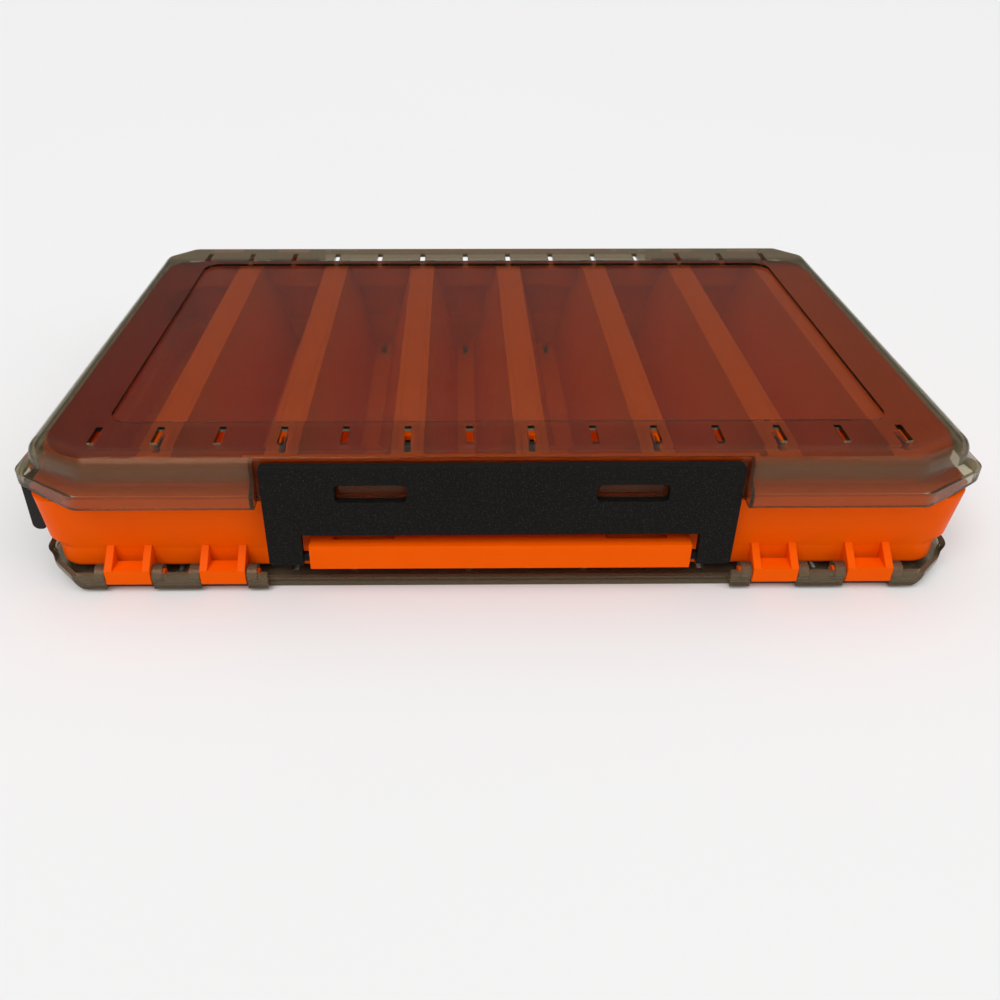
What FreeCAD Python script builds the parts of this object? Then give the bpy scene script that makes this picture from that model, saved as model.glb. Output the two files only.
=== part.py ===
"""Two-sided fishing tackle box: one moulded tray between two identical smoke lids.

The tray is zigzag in section, so every second compartment opens upwards and the
others open downwards. The underside is the top side turned half a turn about X.
Frame: X across the width, -Y the front, +Z up, origin under the centre of the box.
"""
import FreeCAD, Part
import Sketcher
import os
import re

doc = FreeCAD.newDocument("tackle_box")
V = FreeCAD.Vector

# ---------------------------------------------------------------- driving dimensions
SIZES = {
    # whole box
    "width": 282, "depth": 180, "height": 47, "vent_count": 14,
    # lids: plate, head with a rounded top edge, sloping ledge and wider skirt
    "lid_plate": 1.6, "lid_wall": 1.5, "lid_back": 3, "lid_foot": 8.3, "ledge_tall": 2.2,
    "ledge_thin": 0.9, "head_side": 5.2, "head_front": 3.8, "head_corner_x": 17.6,
    "head_corner_y": 9.6, "head_round": 5.5, "corner_x": 21, "corner_y": 13.5, "corner_round": 6,
    "lid_taper": 4.4, "hinge_corner": 9,
    "lid_drop": 15, "side_drop": 13.4, "hinge_drop": 10, "slope_run": 4,
    # lids: recessed panel, bay for the latch and rim on the hinge side
    "panel_side": 26, "panel_end": 24, "panel_deep": 1, "panel_round": 6,
    "wing_wide": 71.8, "lid_bay_deep": 5.5, "lid_bay_drop": 15,
    "rim_reach": 3, "rim_step": 1.4, "rim_tall": 5.1,
    # vents through lids, ridges and floors
    "vent_side": 25.3, "vent_back": 16.2, "vent_wide": 2, "vent_long": 9,
    # tray shell: leaning waist, and a shoulder, a neck and a heel at each lid
    "tray_side": 4.8, "tray_front": 5.3, "tray_rear": 8.9, "tray_round": 8.5, "tray_wall": 1.7,
    "tray_gap": 1.5, "waist_low": 14.5, "tray_shelf": 12, "neck_side": 7.2, "neck_front": 7.6,
    "neck_back": 11.2, "neck_corner": 18, "neck_round": 3.8, "heel_back": 9.3, "heel_low": 5,
    "heel_round": 1.5, "corner_play": 0.8, "tray_bay_deep": 8.8, "tray_bay_play": 0.6,
    # dividers
    "flat_wide": 6, "flat_thick": 1.6, "divider_thick": 1.7,
    # hinges
    "axis_back": 5.3, "axis_deep": 5.6, "lug_wide": 13.4, "lug_side": 30.8, "lug_pitch": 28.1,
    "lug_reach": 2.8, "lug_half": 2.7, "lug_rib": 2.3, "lug_round": 1.2, "lug_back": 2.6, "lug_root": 13.3,
    "lug_root_back": 9,
    "pin_radius": 1.5, "pin_play": 0.05, "pin_proud": 0.5, "knuckle_wide": 3, "knuckle_radius": 2.8,
    "side_play": 0.3,
    # latches
    "latch_play": 1.7, "latch_low": 11, "latch_lip": 2.2, "latch_front": 1.7, "latch_thick": 2.5,
    "leg_wide": 10, "notch_top": 21.9, "window_side": 20.6, "window_wide": 20.2,
    "window_drop": 13.9, "window_tall": 5.8, "latch_axis_back": 3.8, "latch_axis_up": 13,
    "latch_pin_radius": 1.5, "latch_pin_long": 6.5,
    "catch_deep": 0.8, "catch_drop": 13, "catch_tall": 3, "catch_margin": 1,
    "latch_round": 1.2, "window_round": 1.4,
    "rail_play": 1.9, "rail_low": 9.8, "rail_top": 17.9, "rail_front": 1.6,
    "pocket_side": 6.6, "pocket_wide": 18, "pocket_long": 3, "pocket_deep": 4, "pocket_back": 3.6,
    # side handle
    "handle_end": 16, "handle_drop": 1.1, "handle_lift": 0.9, "handle_thick": 4.3, "grip_tall": 8,
    "grip_round": 1.9, "handle_side": 0.1, "arm_wide": 7.5, "handle_pin_radius": 1, "handle_pin_long": 5,
    "ear_wide": 6.6, "ear_tall": 4,
}

# sizes and places that follow from the driving dimensions
FOLLOWING = {
    "lid_rear": "depth / 2 - lid_back",
    "foot": "height - lid_foot",
    "skirt_top": "foot - ledge_tall",
    "tray_half": "width / 2 - tray_side",
    "neck_half": "width / 2 - neck_side",
    "hinge_end": "lid_rear - hinge_corner",
    "head_half": "width / 2 - head_side",
    "neck_rear": "depth / 2 - neck_back",
    "panel_wide": "width - 2 * panel_side",
    "panel_long": "depth - 2 * panel_end",
    "bay_wide": "width - 2 * wing_wide",
    "vent_pitch": "(width - 2 * vent_side) / (vent_count - 1)",
    "vent_row": "depth / 2 - vent_back",
    "lug_outer": "width / 2 - lug_side",
    "lug_inner": "lug_outer - lug_pitch",
    "latch_wide": "bay_wide - 2 * latch_play",
    "latch_top": "height - latch_lip",
    "notch_wide": "latch_wide - 2 * leg_wide",
    "window_far": "latch_wide / 2 - window_side",
    "window_near": "window_far - window_wide",
    "window_low": "height - window_drop",
    "catch_low": "height - catch_drop",
    "rail_wide": "notch_wide - 2 * rail_play",
    "pocket_far": "rail_wide / 2 - pocket_side",
    "pocket_near": "pocket_far - pocket_wide",
    "handle_long": "depth - 2 * handle_end",
    "handle_top": "height - side_drop - handle_drop",
    "handle_low": "side_drop + handle_lift",
}
# how far a cutting tool runs past the face that it goes through
PAST = "1"
# a loft needs its own copies of the plans, and a copy is an offset too small to matter
COPY_GROWTH = "0.0001"

sheet = doc.addObject("Spreadsheet::Sheet", "sizes")
for row, (alias, value) in enumerate(SIZES.items(), start=1):
    sheet.set(f"A{row}", alias)
    sheet.set(f"B{row}", str(value))
    sheet.setAlias(f"B{row}", alias)
doc.recompute()


def spelled_out(text):
    """The expression with each following size written in driving dimensions on the sheet."""
    def spell(word):
        name = word[0]
        if name in FOLLOWING:
            return f"({spelled_out(FOLLOWING[name])})"
        return f"sizes.{name}" if name in SIZES else name

    return re.sub(r"[a-z_]+", spell, text)


def bound(text):
    """The expression in millimetres."""
    return f"({spelled_out(text)}) * 1 mm"


def number(text):
    return float(sheet.evalExpression(bound(text)).Value)


# ---------------------------------------------------------------- drawing helpers
PLANES = {
    "XY": FreeCAD.Rotation(),
    "YZ": FreeCAD.Rotation(V(1, 1, 1), 120),
    "XZ": FreeCAD.Rotation(V(1, 0, 0), 90),
}


def add(kind, label):
    obj = doc.addObject(kind, label)
    obj.Label = label
    return obj


def bind(obj, **texts):
    for prop, text in texts.items():
        obj.setExpression(prop, bound(text))
    return obj


def place(obj, x="0", y="0", z="0"):
    for axis, text in (("x", x), ("y", y), ("z", z)):
        obj.setExpression(f"Placement.Base.{axis}", bound(text))
    return obj


def block(label, wide, long, tall, x, y, z):
    """Box with its low corner at x, y, z."""
    return place(bind(add("Part::Box", label), Length=wide, Width=long, Height=tall), x, y, z)


def rod(label, radius, long, x, y, z, direction):
    """Cylinder that starts at x, y, z and runs along the direction."""
    obj = bind(add("Part::Cylinder", label), Radius=radius, Height=long)
    obj.Placement.Rotation = FreeCAD.Rotation(V(0, 0, 1), V(*direction))
    return place(obj, x, y, z)


def outline(label, plane, corners):
    """Closed polygon; each corner is a pair of expressions in the plane's own axes."""
    sketch = add("Sketcher::SketchObject", label)
    sketch.Placement.Rotation = PLANES[plane]
    points = [V(number(a), number(b), 0) for a, b in corners]
    for i, point in enumerate(points):
        sketch.addGeometry(Part.LineSegment(point, points[(i + 1) % len(points)]), False)
    for i, corner in enumerate(corners):
        before = (i - 1) % len(points)
        sketch.addConstraint(Sketcher.Constraint("Coincident", before, 2, i, 1))
        for kind, text in zip(("DistanceX", "DistanceY"), corner):
            index = sketch.addConstraint(Sketcher.Constraint(kind, i, 1, number(text)))
            sketch.setExpression(f"Constraints[{index}]", bound(text))
    return sketch


def offset(label, source, value, sharp):
    """Plan outline moved outwards by the value, with sharp or round corners."""
    obj = add("Part::Offset2D", label)
    obj.Source = source
    obj.Join = 2 if sharp else 0
    return bind(obj, Value=value)


def inset_plan(label, source, inset, radius):
    """Plan outline moved inwards, with its corners rounded."""
    sharp = offset(label + "_sharp", source, f"-({inset}) - {radius}", True)
    return offset(label + "_plan", sharp, radius, False)


def extrude(label, base, long, direction, start="0"):
    """Prism of the outline along the direction, starting that far along it."""
    obj = add("Part::Extrusion", label)
    obj.Base = base
    obj.DirMode = "Custom"
    obj.Dir = V(*direction)
    obj.Solid = True
    bind(obj, LengthFwd=long)
    offsets = ["0" if part == 0 else f"({start}) * {part}" for part in direction]
    return place(obj, *offsets)


def prism(label, plan, low, high):
    """Upright prism of a plan outline between two heights."""
    return extrude(label, plan, f"({high}) - ({low})", (0, 0, 1), low)


def loft(label, wide, wide_level, narrow, narrow_level):
    """Sloping solid between two plan outlines at two heights."""
    ends = []
    for end, plan, level in (("wide", wide, wide_level), ("narrow", narrow, narrow_level)):
        ends.append(place(offset(f"{label}_{end}", plan, COPY_GROWTH, False), z=level))
    obj = add("Part::Loft", label)
    obj.Sections = ends
    obj.Solid = True
    obj.Ruled = True
    return obj


def bar(label, corners, left, right):
    """Prism along X of an outline drawn in Y and Z."""
    profile = outline(label + "_profile", "YZ", corners)
    return extrude(label, profile, f"({right}) - ({left})", (1, 0, 0), left)


def cut(label, base, *tools):
    obj = add("Part::Cut", label)
    obj.Base = base
    obj.Tool = tools[0] if len(tools) == 1 else fuse(label + "_tools", *tools)
    return obj


def fuse(label, *shapes):
    obj = add("Part::MultiFuse", label)
    obj.Shapes = list(shapes)
    return obj


def common(label, *shapes):
    obj = add("Part::MultiCommon", label)
    obj.Shapes = list(shapes)
    return obj


def turn_over(obj):
    """Half a turn about the X line through the middle of the box's height."""
    obj.Placement.Rotation = FreeCAD.Rotation(V(1, 0, 0), 180)
    return place(obj, z="height")


def rounded(label, base, radius, wanted):
    """The base with every edge that meets the test rounded."""
    doc.recompute()
    obj = add("Part::Fillet", label)
    obj.Base = base
    reach = number(radius)
    obj.Edges = [(i, reach, reach) for i, edge in enumerate(base.Shape.Edges, start=1) if wanted(edge)]
    return obj


def level_at(*texts):
    """Test for edges that lie flat at one of the heights."""
    heights = [number(text) for text in texts]
    return lambda edge: any(abs(edge.BoundBox.ZMin - height) + abs(edge.BoundBox.ZMax - height) < 0.01
                            for height in heights)


pieces = {}


def piece(obj, label):
    """Marks an object as a finished sub-part; its label names the file."""
    obj.Label = label
    pieces[label] = obj
    return obj


# ---------------------------------------------------------------- plan outlines
def mirrored_plan(label, corners):
    """Plan outline whose right half is given from one end to the other."""
    return outline(label, "XY", corners + [(f"-({x})", y) for x, y in reversed(corners)])


# the lid outlines run on past the hinge end, where the lid is cut off square
PAST_HINGE = "2 * corner_round"
head_plan = mirrored_plan("head_outline", [
    ("head_half - head_corner_x", "-depth / 2 + head_front"),
    ("head_half", "-depth / 2 + head_front + head_corner_y"),
    ("head_half", "hinge_end"),
    (f"head_half - hinge_corner - {PAST_HINGE}", f"lid_rear + {PAST_HINGE}"),
])
skirt_plan = mirrored_plan("skirt_outline", [
    ("width / 2 - corner_x", "-depth / 2"),
    ("width / 2", "-depth / 2 + corner_y"),
    ("width / 2 - lid_taper", "hinge_end"),
    (f"width / 2 - lid_taper - hinge_corner - {PAST_HINGE}", f"lid_rear + {PAST_HINGE}"),
])
room_plan = mirrored_plan("room_outline", [
    ("width / 2 - corner_x", "-depth / 2"),
    ("width / 2", "-depth / 2 + corner_y"),
    ("width / 2", "depth / 2"),
])


def tray_plan(label, half, front, rear):
    return mirrored_plan(label + "_outline", [(half, front), (half, rear)])


waist_top = tray_plan("waist_top", "tray_half", "-depth / 2 + tray_front", "depth / 2 - tray_rear")
waist_base = tray_plan("waist_base", "tray_half", "-depth / 2 + tray_rear", "depth / 2 - tray_front")
shoulder_plan = tray_plan("shoulder", "neck_half", "-depth / 2 + neck_front", "depth / 2 - heel_back")
neck_plan = tray_plan("neck", "neck_half", "-depth / 2 + neck_front", "neck_rear")
heel_plan = tray_plan("heel", "neck_half", "0", "depth / 2 - heel_back")

# vents: one slot over each ridge and floor, in two rows, through the whole height
vents = []
for index in range(int(SIZES["vent_count"])):
    across = f"({index} - (vent_count - 1) / 2) * vent_pitch - vent_wide / 2"
    for side, row in (("front", "-vent_row"), ("rear", "vent_row")):
        vents.append(block(f"vent_{side}_{index + 1}", "vent_wide", "vent_long", f"height + 2 * {PAST}",
                           across, f"{row} - vent_long / 2", f"-{PAST}"))
vent_slots = fuse("vent_slots", *vents)


# ---------------------------------------------------------------- tray shell
LOW = "lid_plate + tray_gap"
HIGH = "height - lid_plate - tray_gap"


def tray_waist(label, inset):
    """Middle of the tray; its front and rear walls lean out towards the latch side of each lid."""
    radius = f"(tray_round - {inset})"
    top = inset_plan(label + "_waist_top", waist_top, inset, radius)
    base = inset_plan(label + "_waist_base", waist_base, inset, radius)
    return loft(label + "_waist", base, "waist_low", top, "height - waist_low"), top


def tray_neck(label, inset):
    """Part of the tray inside the top lid, up to the level of the ridges."""
    plan = inset_plan(label + "_neck", neck_plan, inset, f"(neck_corner - {inset})")
    return prism(label + "_neck_body", plan, "height / 2", HIGH)


def lid_level(inset):
    """Height up to which the base lid comes round the tray, with the play between them."""
    return f"(lid_drop + corner_play + {inset})"


def lid_room(label, inset):
    """Space that the tray may fill: its corners step in where the lids come down round them."""
    plan = inset_plan(label + "_plan", room_plan, f"lid_wall + corner_play + {inset}", "corner_round")
    low = lid_level(inset)
    middle = block(label + "_middle", "width", "depth", f"height - 2 * {low}", "-width / 2", "-depth / 2",
                   low)
    top = prism(label + "_top", plan, "height / 2", "height")
    return fuse(label, middle, top, turn_over(fuse(label + "_base", middle, top)))


def bayed(label, solid, inset):
    """The tray solid in the lids' room, with a bay behind each lid's latch bay."""
    bay = f"bay_wide + 2 * lid_wall + 2 * tray_bay_play + 2 * {inset}"
    deep = f"tray_bay_deep + {inset}"
    tall = lid_level(inset)
    front = block(label + "_front_bay", bay, deep, tall, f"-({bay}) / 2", "-depth / 2", f"height - {tall}")
    rear = block(label + "_rear_bay", bay, deep, tall, f"-({bay}) / 2", f"depth / 2 - ({deep})", "0")
    return cut(label, common(label + "_roomed", solid, lid_room(label + "_room", inset)), front, rear)


def tray_solid():
    """Outside of the tray: the waist, and a shoulder, a neck and a heel towards each lid."""
    waist, top = tray_waist("tray_outside", "0")
    shoulder_top = inset_plan("tray_shoulder", shoulder_plan, "0", "tray_round")
    shoulder = loft("tray_shoulder", top, "height - waist_low", shoulder_top, "height - tray_shelf")
    neck = rounded("tray_neck_soft", tray_neck("tray_outside", "0"), "neck_round", level_at(HIGH))
    heel_high = "height - heel_low"
    heel_outline = inset_plan("tray_heel", heel_plan, "0", "tray_round")
    heel_body = prism("tray_heel", heel_outline, "height / 2", heel_high)
    heel = rounded("tray_heel_soft", heel_body, "heel_round", level_at(heel_high))
    ends = [shoulder, neck, heel]
    base = turn_over(fuse("tray_base_end", *ends))
    return bayed("tray_outside", fuse("tray_outside_whole", waist, *ends, base), "0")


def tray_space():
    """Hollow of the tray before the dividers."""
    waist, _ = tray_waist("tray_hollow", "tray_wall")
    neck = tray_neck("tray_hollow", "tray_wall")
    base = turn_over(fuse("tray_hollow_base", waist, neck))
    return bayed("tray_hollow", fuse("tray_hollow_whole", waist, neck, base), "tray_wall")


tray_outside = tray_solid()
tray_hollow = tray_space()
tray_inside = common("tray_inside", tray_hollow, tray_outside)
piece(cut("tray_shell_cut", tray_outside, tray_hollow), "tray_shell")

# ---------------------------------------------------------------- ridges, floors and dividers
LEAN = "((vent_pitch - flat_wide - divider_thick) / (height - 2 * lid_plate - 2 * tray_gap) * flat_thick)"


def strip(label, corners, vented):
    """Long wall of the zigzag with its section drawn in X and Z, ended by the shell."""
    section = outline(label + "_section", "XZ", corners)
    long = extrude(label + "_long", section, "depth", (0, -1, 0), "-depth / 2")
    inside = common(label + "_inside", long, tray_inside)
    if vented:
        inside = cut(label + "_vented", inside, vent_slots)
    return piece(inside, label)


count = int(SIZES["vent_count"])
for index in range(count):
    centre = f"(({index} - (vent_count - 1) / 2) * vent_pitch)"
    left = f"{centre} - flat_wide / 2"
    right = f"{centre} + flat_wide / 2"
    is_floor = index % 2 == 0
    near, far = (LOW, f"{LOW} + flat_thick") if is_floor else (HIGH, f"{HIGH} - flat_thick")
    name = f"floor_{index // 2 + 1}" if is_floor else f"ridge_{index // 2 + 1}"
    left_far = f"{left} - {LEAN}"
    right_far = f"{right} + {LEAN}"
    if index == 0:
        left = left_far = "-width / 2"
    if index == count - 1:
        right = right_far = "width / 2"
    strip(name, [(left, near), (right, near), (right_far, far), (left_far, far)], True)
    if index < count - 1:
        other = f"{centre} + vent_pitch - flat_wide / 2"
        away = HIGH if is_floor else LOW
        strip(f"divider_{index + 1:02d}",
              [(right, near), (f"{right} + divider_thick", near), (other, away),
               (f"{other} - divider_thick", away)], False)

# ---------------------------------------------------------------- hinge lugs on the tray
AXIS_Y = "(-depth / 2 + axis_back)"
AXIS_Z = "axis_deep"
ROOT_Y = "(-depth / 2 + lug_root_back)"
NECK_Y = "-neck_rear"
LUG_FRONT = f"({AXIS_Y} - lug_reach)"
LUG_LOW = f"({AXIS_Z} - lug_half)"
LUG_HIGH = f"({AXIS_Z} + lug_half)"


def hinge_lug(label, centre):
    """U-shaped lug: two ribs off the wall, a bar across them and a pin at each side."""
    half = "lug_wide / 2"
    rib = [(ROOT_Y, "lug_root"), (LUG_FRONT, LUG_HIGH), (LUG_FRONT, LUG_LOW), (NECK_Y, LUG_LOW),
           (NECK_Y, "lug_root")]
    lug_bar = [(LUG_FRONT, LUG_LOW), (f"{AXIS_Y} + lug_back", LUG_LOW), (f"{AXIS_Y} + lug_back", LUG_HIGH),
               (LUG_FRONT, LUG_HIGH)]
    start = f"({centre}) - {half}"
    end = f"({centre}) + {half}"
    parts = [
        bar(label + "_rib_left", rib, start, f"{start} + lug_rib"),
        bar(label + "_rib_right", rib, f"{end} - lug_rib", end),
        bar(label + "_bar", lug_bar, start, end),
    ]
    body = cut(label + "_body", fuse(label + "_blank", *parts), tray_outside)
    front = number(LUG_FRONT)
    soft = rounded(label + "_soft", body, "lug_round",
                   lambda edge: abs(edge.BoundBox.YMax - front) < 0.01 and edge.BoundBox.XLength > 1
                   and abs(edge.BoundBox.XLength - number("lug_wide")) < 0.01)
    pin_half = "(lug_wide / 2 + side_play + knuckle_wide + pin_proud)"
    pin = rod(label + "_pin", "pin_radius", f"2 * {pin_half}", f"({centre}) - {pin_half}", AXIS_Y, AXIS_Z,
              (1, 0, 0))
    return fuse(label + "_lug", soft, pin)


LUG_CENTRES = {"1": "-lug_outer", "2": "-lug_inner", "3": "lug_inner", "4": "lug_outer"}
for digit, centre in LUG_CENTRES.items():
    front_lug = piece(hinge_lug(f"front_hinge_lug_{digit}", centre), f"front_hinge_lug_{digit}")
    rear_lug = turn_over(fuse(f"rear_hinge_lug_{digit}_copy", *front_lug.Shapes))
    piece(rear_lug, f"rear_hinge_lug_{digit}")

# ---------------------------------------------------------------- latch rails on the tray
RAIL_Y = "(-depth / 2 + rail_front)"
LATCH_AXIS_Y = "(-depth / 2 + latch_axis_back)"


def pocket(label, side):
    start = "pocket_near" if side == "right" else "-pocket_far"
    return block(label, "pocket_wide", "pocket_long", "pocket_deep", start,
                 f"{RAIL_Y} + pocket_back", "rail_top - pocket_deep")


def latch_rail():
    """Bar in front of the tray's bay, with a blind bore for the latch's pin in each end."""
    blank = block("rail_block", "rail_wide", f"{NECK_Y} - {RAIL_Y}", "rail_top - rail_low",
                  "-rail_wide / 2", RAIL_Y, "rail_low")
    bore_long = "latch_pin_long"
    bores = [
        rod("rail_bore_left", "latch_pin_radius + pin_play", bore_long, "-rail_wide / 2", LATCH_AXIS_Y,
            "latch_axis_up", (1, 0, 0)),
        rod("rail_bore_right", "latch_pin_radius + pin_play", bore_long, "rail_wide / 2", LATCH_AXIS_Y,
            "latch_axis_up", (-1, 0, 0)),
    ]
    pockets = [pocket("rail_pocket_left", "left"), pocket("rail_pocket_right", "right")]
    return cut("latch_rail", blank, tray_outside, *bores, *pockets)


front_rail = piece(latch_rail(), "front_latch_rail")
rear_rail = add("Part::Cut", "rear_rail_copy")
rear_rail.Base = front_rail.Base
rear_rail.Tool = front_rail.Tool
piece(turn_over(rear_rail), "rear_latch_rail")


# ---------------------------------------------------------------- latches
def latch():
    """Plate with a notch for the rail, two windows, and a pin on each leg into the rail."""
    plate_y = "-depth / 2 + latch_front"
    plate = block("latch_plate", "latch_wide", "latch_thick", "latch_top - latch_low", "-latch_wide / 2",
                  plate_y, "latch_low")
    through = f"latch_thick + 2 * {PAST}"
    along_y = number("latch_thick") - 0.01
    plate_soft = rounded("latch_plate_soft", plate, "latch_round",
                         lambda edge: edge.BoundBox.YLength > along_y)
    notch = block("latch_notch", "notch_wide", through, "notch_top", "-notch_wide / 2",
                  f"{plate_y} - {PAST}", "0")
    windows = []
    for side, start in (("left", "-window_far"), ("right", "window_near")):
        window = block(f"latch_window_{side}", "window_wide", through, "window_tall", start,
                       f"{plate_y} - {PAST}", "window_low")
        windows.append(rounded(f"latch_window_{side}_soft", window, "window_round",
                               lambda edge: edge.BoundBox.YLength > along_y))
    cut_plate = cut("latch_cut", plate_soft, notch, *windows)
    pin_start = "(notch_wide / 2 + latch_pin_radius)"
    pin_end = "(rail_wide / 2 - latch_pin_long + side_play)"
    pins = [
        rod("latch_pin_left", "latch_pin_radius", f"{pin_start} - {pin_end}", f"-{pin_start}", LATCH_AXIS_Y,
            "latch_axis_up", (1, 0, 0)),
        rod("latch_pin_right", "latch_pin_radius", f"{pin_start} - {pin_end}", pin_start, LATCH_AXIS_Y,
            "latch_axis_up", (-1, 0, 0)),
    ]
    return fuse("latch", cut_plate, *pins)


front_latch = piece(latch(), "front_latch")
piece(turn_over(fuse("rear_latch_copy", *front_latch.Shapes)), "rear_latch")


# ---------------------------------------------------------------- lids
UNDER = "(height - lid_plate)"
STEP_Y = "(lid_rear - rim_reach)"
STEP_Z = "(height - rim_step)"
RIM_LOW = "(height - rim_step - rim_tall)"


def lid_solid(label, wall, drop, top, radius):
    """Outside of the lid, or its hollow when inset by the wall: head, ledge and skirt."""
    head = inset_plan(label + "_head", head_plan, wall, "corner_round")
    skirt = inset_plan(label + "_skirt", skirt_plan, wall, "corner_round")
    edge = f"skirt_top - {drop}"
    body = prism(label + "_head_body", head, edge, top)
    parts = [
        rounded(label + "_head_soft", body, radius, level_at(top)),
        loft(label + "_ledge", skirt, edge, head, f"foot - {drop}"),
        prism(label + "_skirt_body", skirt, f"height - lid_drop - {wall}", edge),
    ]
    reach = f"lid_rear + depth / 2 - {wall}"
    trim = block(label + "_trim", "width", reach, "height", "-width / 2", "-depth / 2", "0")
    return common(label, fuse(label + "_whole", *parts), trim)


def lid_blank():
    """Solid lid with its latch bay, hinge-side bay and rear step."""
    blank = lid_solid("lid_outside", "0", "0", "height", "head_round")
    bay = block("lid_bay", "bay_wide", "lid_bay_deep", f"height + {PAST}", "-bay_wide / 2", "-depth / 2", "0")
    rear_bay = block("lid_rear_bay", "bay_wide", "rim_reach", "height", "-bay_wide / 2", STEP_Y, "0")
    step = block("lid_step", "width", "rim_reach", "rim_step", "-width / 2", STEP_Y, STEP_Z)
    return cut("lid_blank", blank, bay, rear_bay, step)


def lid_hollow():
    """Space inside the lid, leaving the bay's wall and a thick rear step."""
    space = lid_solid("lid_inside", "lid_wall", "ledge_thin", UNDER, "head_round - lid_plate")
    bay_wall = "(bay_wide + 2 * lid_wall)"
    bay_fill = block("lid_bay_fill", bay_wall, "lid_bay_deep + lid_wall", "height", f"-{bay_wall} / 2",
                     "-depth / 2", "0")
    step_fill = block("lid_step_fill", "width", "rim_reach + lid_wall", "height", "-width / 2",
                      f"{STEP_Y} - lid_wall", f"{STEP_Z} - lid_plate")
    return cut("lid_hollow", space, bay_fill, step_fill)


def lid_shell():
    below_bay = block("lid_below_bay", "bay_wide", f"lid_bay_deep + lid_wall + {PAST}",
                      "height - lid_bay_drop", "-bay_wide / 2", "-depth / 2", "0")
    slope = bar("lid_slope", [
        ("-depth / 2 + corner_y / 2", "height - lid_drop"),
        ("-depth / 2 + corner_y + slope_run", "height - side_drop"),
        (f"lid_rear + {PAST}", "height - hinge_drop"),
        (f"lid_rear + {PAST}", "0"),
        ("-depth / 2 + corner_y / 2", "0"),
    ], f"-width / 2 - {PAST}", f"width / 2 + {PAST}")
    # the hinge end stops at the rim between the side walls, so that it swings clear of the tray
    inner_wide = "(2 * head_half - 2 * lid_wall)"
    below_rim = block("lid_below_rim", inner_wide, f"hinge_corner + {PAST}", RIM_LOW, f"-{inner_wide} / 2",
                      "hinge_end", "0")
    panel_blank = block("lid_panel_blank", "panel_wide", "panel_long", f"panel_deep + {PAST}",
                        "-panel_wide / 2", "-panel_long / 2", "height - panel_deep")
    upright = number(f"panel_deep + {PAST}")
    panel = rounded("lid_panel", panel_blank, "panel_round",
                    lambda edge: abs(edge.BoundBox.ZLength - upright) < 0.01)
    return cut("lid_shell", lid_blank(), lid_hollow(), below_bay, slope, below_rim, panel)


def lid():
    """Top lid, closed. The underside lid is the same moulding turned over."""
    # raised catches that the latch's windows look onto
    catches = []
    for side, start in (("left", "-window_far + catch_margin"), ("right", "window_near + catch_margin")):
        catches.append(block(f"lid_catch_{side}", "window_wide - 2 * catch_margin",
                             "catch_deep + lid_wall / 2", "catch_tall", start,
                             "-depth / 2 + lid_bay_deep - catch_deep", "catch_low"))
    # room for the lugs, then a knuckle with a bore at each side of every lug
    axis_y = f"-{AXIS_Y}"
    axis_z = f"(height - {AXIS_Z})"
    gap = "(lug_wide + 2 * side_play)"
    gaps = []
    knuckles = []
    bores = []
    for digit, centre in LUG_CENTRES.items():
        start = f"({centre}) - {gap} / 2"
        gaps.append(block(f"lid_lug_gap_{digit}", gap, "2 * rim_reach + 2 * lid_wall", UNDER, start,
                          f"{STEP_Y} - 2 * lid_wall", "0"))
        gaps.append(block(f"lid_lug_notch_{digit}", gap, "2 * rim_reach", "height", start, STEP_Y, "0"))
        for side, left in (("left", f"{start} - knuckle_wide"), ("right", f"{start} + {gap}")):
            tag = f"{digit}_{side}"
            knuckles.append(rod(f"lid_knuckle_{tag}", "knuckle_radius", "knuckle_wide", left, axis_y, axis_z,
                                (1, 0, 0)))
            knuckles.append(block(f"lid_knuckle_root_{tag}", "knuckle_wide", "knuckle_radius + rim_reach / 2",
                                  f"{STEP_Z} - lid_plate / 2 - {axis_z}", left, f"{axis_y} - knuckle_radius",
                                  axis_z))
        bore_long = f"(lug_wide + 2 * knuckle_wide + 2 * side_play + 2 * {PAST})"
        bores.append(rod(f"lid_bore_{digit}", "pin_radius + pin_play", bore_long,
                         f"({centre}) - {bore_long} / 2", axis_y, axis_z, (1, 0, 0)))
    gapped = cut("lid_gapped", fuse("lid_whole", lid_shell(), *catches), *gaps)
    hinged = fuse("lid_hinged", gapped, *knuckles)
    return cut("lid", hinged, vent_slots, *bores)


top_lid = piece(lid(), "top_lid")
base_lid = add("Part::Cut", "base_lid_copy")
base_lid.Base = top_lid.Base
base_lid.Tool = top_lid.Tool
piece(turn_over(base_lid), "base_lid")

# ---------------------------------------------------------------- folding handle on the left side
WALL_X = "-tray_half"
HANDLE_X = "(-width / 2 + handle_side)"
PIVOT_X = f"({HANDLE_X} + handle_thick / 2)"
PIVOT_Z = "(handle_top - handle_thick / 2)"


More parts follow.
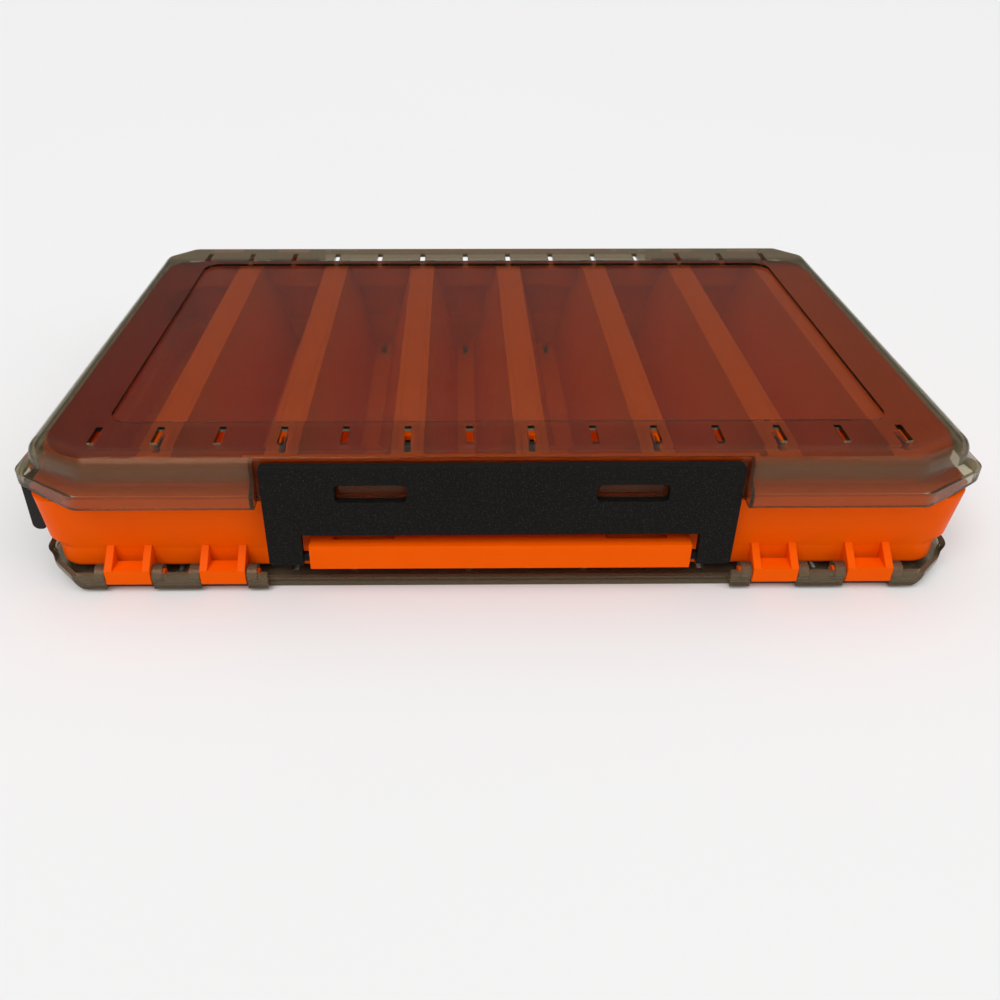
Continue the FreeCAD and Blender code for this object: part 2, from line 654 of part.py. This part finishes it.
def handle():
    """Bail with a rounded grip along the box, two arms and a bore at the top of each arm."""
    grip = block("handle_grip", "handle_thick", "handle_long", "grip_tall", HANDLE_X, "-handle_long / 2",
                 "handle_low")
    long = number("handle_long")
    parts = [rounded("handle_grip_soft", grip, "grip_round",
                     lambda edge: abs(edge.BoundBox.YLength - long) < 0.01)]
    bores = []
    arm_low = "(handle_low + grip_tall / 2)"
    for side, start in (("front", "-handle_long / 2"), ("rear", "handle_long / 2 - arm_wide")):
        parts.append(block(f"handle_arm_{side}", "handle_thick", "arm_wide", f"{PIVOT_Z} - {arm_low}",
                           HANDLE_X, start, arm_low))
        parts.append(rod(f"handle_eye_{side}", "handle_thick / 2", "arm_wide", PIVOT_X, start, PIVOT_Z,
                         (0, 1, 0)))
    # blind bores from the inner side of each arm
    inner = "(handle_long / 2 - arm_wide)"
    bore_long = f"handle_pin_long + side_play + {PAST}"
    for side, sign in (("front", -1), ("rear", 1)):
        bores.append(rod(f"handle_bore_{side}", "handle_pin_radius + pin_play", bore_long, PIVOT_X,
                         f"{sign} * ({inner} - {PAST})", PIVOT_Z, (0, sign, 0)))
    return cut("handle", fuse("handle_bail", *parts), *bores)


def handle_ear(side, sign):
    """Ear on the tray's side wall with a pin that carries one arm of the handle."""
    inner = "handle_long / 2 - arm_wide - side_play"
    start = f"{inner} - ear_wide" if sign > 0 else f"-({inner})"
    body = block(f"ear_{side}_body", f"{WALL_X} - {HANDLE_X}", "ear_wide", "ear_tall", HANDLE_X, start,
                 f"{PIVOT_Z} - ear_tall / 2")
    pin_start = f"{inner} - {PAST}" if sign > 0 else f"-({inner}) + {PAST}"
    pin = rod(f"ear_{side}_pin", "handle_pin_radius", f"handle_pin_long + side_play + {PAST}", PIVOT_X,
              pin_start, PIVOT_Z, (0, sign, 0))
    return fuse(f"ear_{side}", body, pin)


piece(handle(), "side_handle")
piece(handle_ear("front", -1), "handle_ear_front")
piece(handle_ear("rear", 1), "handle_ear_rear")

# ---------------------------------------------------------------- check and write
doc.recompute()
for obj in doc.Objects:
    if "Invalid" in obj.State or "Error" in obj.State:
        raise RuntimeError(f"{obj.Label} failed to build")
os.makedirs("parts", exist_ok=True)
for label, obj in pieces.items():
    shape = obj.Shape
    if shape.isNull() or not shape.isValid():
        raise RuntimeError(f"{label} is not a valid shape")
    shape.exportStep(f"parts/{label}.step")
    print(f"{label}: {len(shape.Solids)} solid, {shape.Volume / 1000:.2f} cm3")
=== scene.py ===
"""Two-sided fishing tackle box: orange tray, two smoke lids, black latches and handle."""
import math

import bpy
from mathutils import Matrix, Vector


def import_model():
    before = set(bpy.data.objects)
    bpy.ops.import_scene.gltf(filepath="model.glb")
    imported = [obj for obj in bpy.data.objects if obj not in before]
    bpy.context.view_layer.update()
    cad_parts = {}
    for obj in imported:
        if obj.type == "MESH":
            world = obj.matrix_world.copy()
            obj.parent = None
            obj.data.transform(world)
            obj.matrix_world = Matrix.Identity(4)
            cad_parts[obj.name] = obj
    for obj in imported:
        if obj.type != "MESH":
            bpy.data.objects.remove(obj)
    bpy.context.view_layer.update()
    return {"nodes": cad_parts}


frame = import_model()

MM = 0.001

# ---------------------------------------------------------------- node names by material
nodes = frame["nodes"]
LIDS = ["top_lid", "base_lid"]
LATCHES = ["front_latch", "rear_latch"]
HANDLES = ["side_handle"]
TRAY = [name for name in nodes if name not in LIDS + LATCHES + HANDLES]


# ---------------------------------------------------------------- node tree helpers
def new_material(name):
    """A material with only an output node, and that node."""
    material = bpy.data.materials.new(name)
    material.use_nodes = True
    tree = material.node_tree
    tree.nodes.clear()
    output = tree.nodes.new("ShaderNodeOutputMaterial")
    return material, tree, output


def node(tree, kind, **inputs):
    """A new node with its sockets set or linked; socket names use _ for spaces."""
    made = tree.nodes.new(kind)
    for key, value in inputs.items():
        socket = made.inputs[key.replace("_", " ")]
        if isinstance(value, bpy.types.NodeSocket):
            tree.links.new(value, socket)
        else:
            socket.default_value = value
    return made


def position(tree):
    """Place on the object in metres, fixed to the object."""
    return tree.nodes.new("ShaderNodeTexCoord").outputs["Object"]


def noise(tree, size, detail=2.0, roughness=0.5, vector=None):
    """Noise whose features are about this size in metres."""
    made = node(tree, "ShaderNodeTexNoise", Scale=1.0 / size, Detail=detail, Roughness=roughness)
    tree.links.new(vector or position(tree), made.inputs["Vector"])
    return made.outputs["Fac"]


def remap(tree, value, from_low, from_high, to_low, to_high):
    """Value stretched from one range to another and kept inside it."""
    made = node(tree, "ShaderNodeMapRange", Value=value)
    for socket, number in zip(("From Min", "From Max", "To Min", "To Max"),
                              (from_low, from_high, to_low, to_high)):
        made.inputs[socket].default_value = number
    return made.outputs["Result"]


def math_node(tree, operation, first, second):
    """Result of one operation on a socket and a number or another socket."""
    made = tree.nodes.new("ShaderNodeMath")
    made.operation = operation
    for socket, value in zip(made.inputs, (first, second)):
        if isinstance(value, bpy.types.NodeSocket):
            tree.links.new(value, socket)
        else:
            socket.default_value = value
    return made.outputs[0]


def absolute(tree, value):
    return math_node(tree, "ABSOLUTE", value, 0.0)


def mixed_colour(tree, factor, first, second):
    """Mix of two colours, each given as numbers or as a socket."""
    made = tree.nodes.new("ShaderNodeMix")
    made.data_type = "RGBA"
    tree.links.new(factor, made.inputs["Factor"])
    for socket, colour in zip(made.inputs[6:8], (first, second)):
        if isinstance(colour, bpy.types.NodeSocket):
            tree.links.new(colour, socket)
        else:
            socket.default_value = (*colour, 1.0)
    return made.outputs[2]


def bump(tree, height, distance, strength=1.0, normal=None):
    made = node(tree, "ShaderNodeBump", Height=height, Distance=distance, Strength=strength)
    if normal is not None:
        tree.links.new(normal, made.inputs["Normal"])
    return made.outputs["Normal"]


def soft_edges(tree, radius):
    """Normal that shades every edge as if it had this radius."""
    made = tree.nodes.new("ShaderNodeBevel")
    made.samples = 4
    made.inputs["Radius"].default_value = radius
    return made.outputs["Normal"]


# ---------------------------------------------------------------- materials
def orange_plastic():
    """Opaque moulded polypropylene with a satin skin and faint flow mottling."""
    material, tree, output = new_material("orange_plastic")
    mottle = noise(tree, 14 * MM, detail=3)
    colour = mixed_colour(tree, mottle, (0.82, 0.088, 0.0), (0.88, 0.108, 0.0))
    fine = noise(tree, 0.5 * MM, detail=2)
    shine = remap(tree, noise(tree, 6 * MM, detail=3), 0.3, 0.7, 0.3, 0.42)
    skin = bump(tree, fine, 0.02 * MM, 0.5, soft_edges(tree, 0.35 * MM))
    surface = node(tree, "ShaderNodeBsdfPrincipled", Base_Color=colour, Roughness=shine, Normal=skin)
    surface.inputs["IOR"].default_value = 1.49
    surface.inputs["Specular IOR Level"].default_value = 0.03
    tree.links.new(surface.outputs[0], output.inputs["Surface"])
    return material


# places in a lid, as distances from the middle of the box's height, width and depth
MID_HEIGHT = 23.5 * MM
SKIRT_END, WALL_START = 13.5 * MM, 16.0 * MM
WALL_END, PLATE_START = 20.5 * MM, 22.3 * MM
BAY_SIDE, BAY_SIDE_END = 69.0 * MM, 71.5 * MM
BAY_DEPTH, BAY_DEPTH_END = -80.0 * MM, -78.0 * MM
HINGE_BAND_START, HINGE_BAND_END = 67.0 * MM, 73.0 * MM

# the clear tint is the smoke's own colour; the darker wall tint is painted shade on what is seen
# through the walls, and the hinge tint is painted shade. The milk is a faint haze on the plate, painted
# reflection of the bright room on the walls and skirt, and painted shade along the hinge edge.
CLEAR_TINT = (0.80, 0.80, 0.62)
WALL_SHADE_TINT = (0.54, 0.52, 0.40)
HINGE_SHADE_TINT = (0.20, 0.15, 0.10)
MILK_AND_PAINTED_LIGHT_COLOUR = (0.30, 0.235, 0.15)
PLATE_MILK, SKIRT_PAINTED_REFLECTION = 0.015, 0.08
WALL_PAINTED_REFLECTION, HINGE_PAINTED_SHADE = 0.19, 0.32


def smoke_plastic():
    """Brown smoke plastic: clear plate; milky painted reflection of the bright room on the walls, less
    on the skirt, none on the latch bay walls; a dark painted-shade band along the hinge edge.
    """
    material, tree, output = new_material("smoke_plastic")
    wave = noise(tree, 25 * MM, detail=2)
    haze = remap(tree, noise(tree, 9 * MM, detail=4), 0.35, 0.75, 0.04, 0.11)
    skin = bump(tree, wave, 0.12 * MM, 0.5)
    place = node(tree, "ShaderNodeSeparateXYZ", Vector=position(tree)).outputs
    middle = math_node(tree, "SUBTRACT", place["Z"], MID_HEIGHT)
    away = absolute(tree, middle)
    wall = remap(tree, away, SKIRT_END, WALL_START, 0.0, 1.0)
    skirt = remap(tree, away, SKIRT_END, WALL_START, 1.0, 0.0)
    below_plate = remap(tree, away, WALL_END, PLATE_START, 1.0, 0.0)
    walls = math_node(tree, "MULTIPLY", wall, below_plate)
    # depth in either lid, negative towards its latch edge and positive towards its hinge edge
    hinge_depth = math_node(tree, "MULTIPLY", math_node(tree, "SIGN", middle, 0.0), place["Y"])
    # the latch bay, in the middle of the latch edge, gets no painted reflection on its walls
    beside = remap(tree, absolute(tree, place["X"]), BAY_SIDE, BAY_SIDE_END, 0.0, 1.0)
    inward = remap(tree, hinge_depth, BAY_DEPTH, BAY_DEPTH_END, 0.0, 1.0)
    outside_bay = math_node(tree, "MAXIMUM", beside, inward)
    # painted shade: a darker, milky brown band along the plate's hinge edge stands in for the shaded
    # parts seen behind it
    hinge_shade_band = remap(tree, hinge_depth, HINGE_BAND_START, HINGE_BAND_END, 0.0, 1.0)
    plate_hinge_shade = math_node(tree, "MULTIPLY", hinge_shade_band, math_node(tree, "SUBTRACT", 1.0, below_plate))
    painted_light_mask = math_node(tree, "MAXIMUM", math_node(tree, "MULTIPLY", walls, outside_bay), plate_hinge_shade)
    plate_tint = mixed_colour(tree, plate_hinge_shade, CLEAR_TINT, HINGE_SHADE_TINT)
    # painted shade: the walls pass less light, so the tray seen through them looks darker
    glass_tint = mixed_colour(tree, walls, plate_tint, WALL_SHADE_TINT)
    surface = node(tree, "ShaderNodeBsdfPrincipled", Base_Color=glass_tint, Roughness=haze, Normal=skin)
    surface.inputs["Transmission Weight"].default_value = 1.0
    surface.inputs["IOR"].default_value = 1.3
    surface.inputs["Specular IOR Level"].default_value = 0.2
    surface.inputs["Specular Tint"].default_value = (0.8, 0.62, 0.42, 1.0)
    tint = tree.nodes.new("ShaderNodeVolumeAbsorption")
    tint.inputs["Color"].default_value = (0.34, 0.24, 0.12, 1.0)
    tint.inputs["Density"].default_value = 280.0
    # milky layer: faint haze on the plate, painted reflection on the walls and skirt, painted shade at
    # the hinge edge
    milk_and_painted_light = node(tree, "ShaderNodeBsdfDiffuse")
    milk_and_painted_light.inputs["Color"].default_value = (*MILK_AND_PAINTED_LIGHT_COLOUR, 1.0)
    haze_and_skirt_reflection_share = remap(tree, skirt, 0.0, 1.0, PLATE_MILK, SKIRT_PAINTED_REFLECTION)
    # share of the milky layer: painted reflection on the walls, painted shade at the hinge edge
    reflection_and_shade_share = remap(tree, hinge_shade_band, 0.0, 1.0, WALL_PAINTED_REFLECTION, HINGE_PAINTED_SHADE)
    painted_light_share = math_node(tree, "MULTIPLY", painted_light_mask, reflection_and_shade_share)
    share = math_node(tree, "MAXIMUM", haze_and_skirt_reflection_share, painted_light_share)
    both = node(tree, "ShaderNodeMixShader", Fac=share)
    tree.links.new(surface.outputs[0], both.inputs[1])
    tree.links.new(milk_and_painted_light.outputs[0], both.inputs[2])
    tree.links.new(both.outputs[0], output.inputs["Surface"])
    tree.links.new(tint.outputs[0], output.inputs["Volume"])
    return material


def scaled(colour, factor):
    return [factor * value for value in colour]


def black_plastic(name, grain, roughness, specular, base):
    """Black moulding with a spark-eroded grain of the given size and fine lighter specks painted in as
    glints.
    """
    material, tree, output = new_material(name)
    patch = noise(tree, 11 * MM, detail=3)
    ground = mixed_colour(tree, patch, scaled(base, 0.85), scaled(base, 1.15))
    grit = noise(tree, grain, detail=3, roughness=0.6)
    # painted glints: lighter specks on the grain stand in for its sparkle
    painted_glints = remap(tree, grit, 0.55, 0.72, 0.0, 1.0)
    colour = mixed_colour(tree, painted_glints, ground, scaled(base, 5.0))
    shine = remap(tree, grit, 0.3, 0.7, roughness - 0.08, roughness + 0.08)
    skin = bump(tree, grit, 0.09 * MM, 1.0, soft_edges(tree, 0.45 * MM))
    surface = node(tree, "ShaderNodeBsdfPrincipled", Base_Color=colour, Roughness=shine, Normal=skin)
    surface.inputs["Specular IOR Level"].default_value = specular
    tree.links.new(surface.outputs[0], output.inputs["Surface"])
    return material


def pale_floor():
    """Matt pale floor with a barely uneven tone."""
    material, tree, output = new_material("pale_floor")
    tone = noise(tree, 0.4, detail=2)
    colour = mixed_colour(tree, tone, (0.80, 0.80, 0.80), (0.82, 0.82, 0.82))
    surface = node(tree, "ShaderNodeBsdfPrincipled", Base_Color=colour, Roughness=0.9)
    tree.links.new(surface.outputs[0], output.inputs["Surface"])
    return material


def dress(names, material):
    """Give these nodes one material."""
    for name in names:
        obj = nodes[name]
        obj.data.materials.clear()
        obj.data.materials.append(material)


def ease_edges(names, width):
    """Small moulded radius on every sharp edge of these pieces."""
    for name in names:
        ease = nodes[name].modifiers.new("edges", "BEVEL")
        ease.width = width
        ease.segments = 3
        ease.limit_method = "ANGLE"
        ease.angle_limit = math.radians(35)
        ease.harden_normals = True


dress(TRAY, orange_plastic())
dress(LIDS, smoke_plastic())
dress(LATCHES, black_plastic("latch_black", 0.4 * MM, 0.42, 0.06, (0.0062, 0.0060, 0.0053)))
dress(HANDLES, black_plastic("handle_black", 0.5 * MM, 0.38, 0.2, (0.0085, 0.008, 0.0072)))

ease_edges(LIDS, 0.35 * MM)

# ---------------------------------------------------------------- camera
# pinhole camera fitted to the box: place in mm, downward pitch, yaw and roll in radians
CAMERA_PLACE = Vector((-12.390, -305.528, 181.345))
CAMERA_PITCH = 0.5655
CAMERA_YAW = 0.01006
CAMERA_ROLL = -0.00165
FRAME_PIXELS = 1000
FOCAL_PIXELS = 936.291
CENTRE_PIXELS = (465.657, 471.385)
SENSOR = 36.0


def camera():
    """Camera at the fitted place, with the fitted lens and picture centre."""
    data = bpy.data.cameras.new("camera")
    data.sensor_width = SENSOR
    data.lens = FOCAL_PIXELS / FRAME_PIXELS * SENSOR
    data.shift_x = 0.5 - CENTRE_PIXELS[0] / FRAME_PIXELS
    data.shift_y = CENTRE_PIXELS[1] / FRAME_PIXELS - 0.5
    data.clip_start = 0.01
    obj = bpy.data.objects.new("camera", data)
    bpy.context.collection.objects.link(obj)
    level = Vector((math.cos(CAMERA_YAW), -math.sin(CAMERA_YAW), 0.0))
    ahead = Vector((math.sin(CAMERA_YAW) * math.cos(CAMERA_PITCH),
                    math.cos(CAMERA_YAW) * math.cos(CAMERA_PITCH), -math.sin(CAMERA_PITCH)))
    down = ahead.cross(level)
    right = math.cos(CAMERA_ROLL) * level + math.sin(CAMERA_ROLL) * down
    lower = -math.sin(CAMERA_ROLL) * level + math.cos(CAMERA_ROLL) * down
    turn = Matrix((right, -lower, -ahead)).transposed()
    obj.matrix_world = Matrix.Translation(CAMERA_PLACE * MM) @ turn.to_4x4()
    bpy.context.scene.camera = obj


# ---------------------------------------------------------------- stage and light
FLOOR_REACH = 12.0


def floor():
    """Flat square floor under the box."""
    reach = FLOOR_REACH
    corners = [(-reach, -reach, 0), (reach, -reach, 0), (reach, reach, 0), (-reach, reach, 0)]
    mesh = bpy.data.meshes.new("floor")
    mesh.from_pydata(corners, [], [(0, 1, 2, 3)])
    mesh.materials.append(pale_floor())
    obj = bpy.data.objects.new("floor", mesh)
    bpy.context.collection.objects.link(obj)


def sun(name, place, strength, angle):
    """Soft sun shining from the place towards the origin."""
    data = bpy.data.lights.new(name, "SUN")
    data.energy = strength
    data.angle = math.radians(angle)
    obj = bpy.data.objects.new(name, data)
    bpy.context.collection.objects.link(obj)
    obj.rotation_euler = (-Vector(place)).to_track_quat("-Z", "Y").to_euler()


def world(low, high):
    """Plain grey surroundings, dimmer near the horizon than overhead."""
    made = bpy.data.worlds.new("studio")
    bpy.context.scene.world = made
    made.use_nodes = True
    tree = made.node_tree
    up = node(tree, "ShaderNodeSeparateXYZ",
              Vector=tree.nodes.new("ShaderNodeTexCoord").outputs["Generated"]).outputs["Z"]
    strength = remap(tree, up, 0.45, 0.9, low, high)
    tree.links.new(strength, tree.nodes["Background"].inputs["Strength"])
    tree.nodes["Background"].inputs["Color"].default_value = (1.0, 1.0, 1.0, 1.0)


camera()
floor()
world(0.16, 1.0)
sun("key", (-0.5, -0.9, 1.3), 1.6, 40)
sun("fill", (0.9, -0.5, 0.7), 0.6, 50)
bpy.context.scene.view_settings.view_transform = "Standard"
